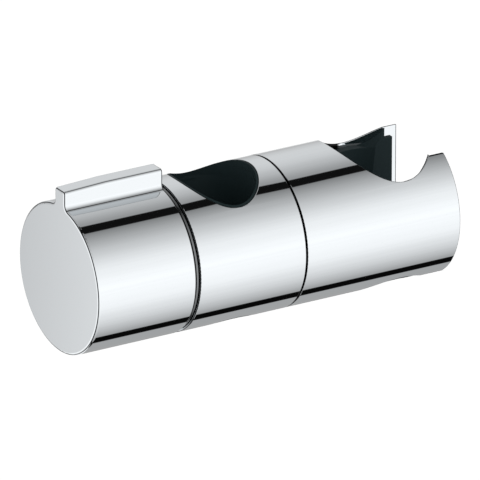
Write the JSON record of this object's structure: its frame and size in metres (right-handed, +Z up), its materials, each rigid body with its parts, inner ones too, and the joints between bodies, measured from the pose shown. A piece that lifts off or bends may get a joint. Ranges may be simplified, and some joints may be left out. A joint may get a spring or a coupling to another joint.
{
  "type": "shower rail slider",
  "caption": "Round shower rail slider with a finned clamp knob, a lined rail hole and a swivelling open cradle for a hand shower.",
  "frame": {"origin": "centre of the rail hole, on the axis of the round body", "axes": "+Z up along the rail, +X from the clamp knob to the handset cradle, +Y towards the wall"},
  "size_m": [0.1184, 0.044, 0.0496],
  "materials": {
    "chrome_knob": "mirror chrome plating on moulded plastic",
    "chrome_body": "mirror chrome plating on moulded plastic",
    "chrome_holder": "mirror chrome plating on moulded plastic",
    "ring_chrome": "bright ring, slightly satin",
    "black_plastic": "smooth black moulding, low sheen",
    "core_plastic": "glass-filled black moulding",
    "cam_plastic": "natural low-friction plastic",
    "seal_rubber": "soft black rubber",
    "steel": "stainless steel, plain",
    "brass": "turned brass"
  },
  "bodies": {
    "body": {"body_core": "core_plastic", "body_shell": "chrome_body", "rail_bush": "black_plastic", "gap_ring": "ring_chrome", "retaining_ring": "steel", "friction_ring": "seal_rubber", "return_spring": "steel", "swivel_axle": "steel", "thrust_washer": "cam_plastic", "disc_spring": "steel", "plain_washer": "steel", "lock_nut": "steel"},
    "knob": {"knob_cap": "chrome_knob", "knob_core": "core_plastic", "cam_disc": "cam_plastic", "cam_screws": "steel"},
    "brake": {"plunger": "cam_plastic", "brake_shoe": "core_plastic", "brake_pad": "seal_rubber", "shoe_screw": "steel"},
    "holder": {"holder_shell": "chrome_holder", "holder_liner": "black_plastic", "holder_hub": "core_plastic", "hub_bush": "brass", "holder_screws": "steel"}
  },
  "joints": [
    {"name": "knob_turn", "type": "hinge", "parent": "body", "child": "knob", "pos_m": [0, 0, 0], "axis": [1, 0, 0], "range_deg": [0, 90]},
    {"name": "brake_slide", "type": "slide", "parent": "body", "child": "brake", "axis": [-1, 0, 0], "range_m": [0, 0.0012], "deforming": ["return_spring"]},
    {"name": "holder_swivel", "type": "hinge", "parent": "body", "child": "holder", "pos_m": [0.0265, 0, 0], "axis": [1, 0, 0], "range_deg": [-60, 60]}
  ],
  "couplings": [
    {"joint": "brake_slide", "follows": "knob_turn", "m_per_rad": 0.00076394}
  ]
}
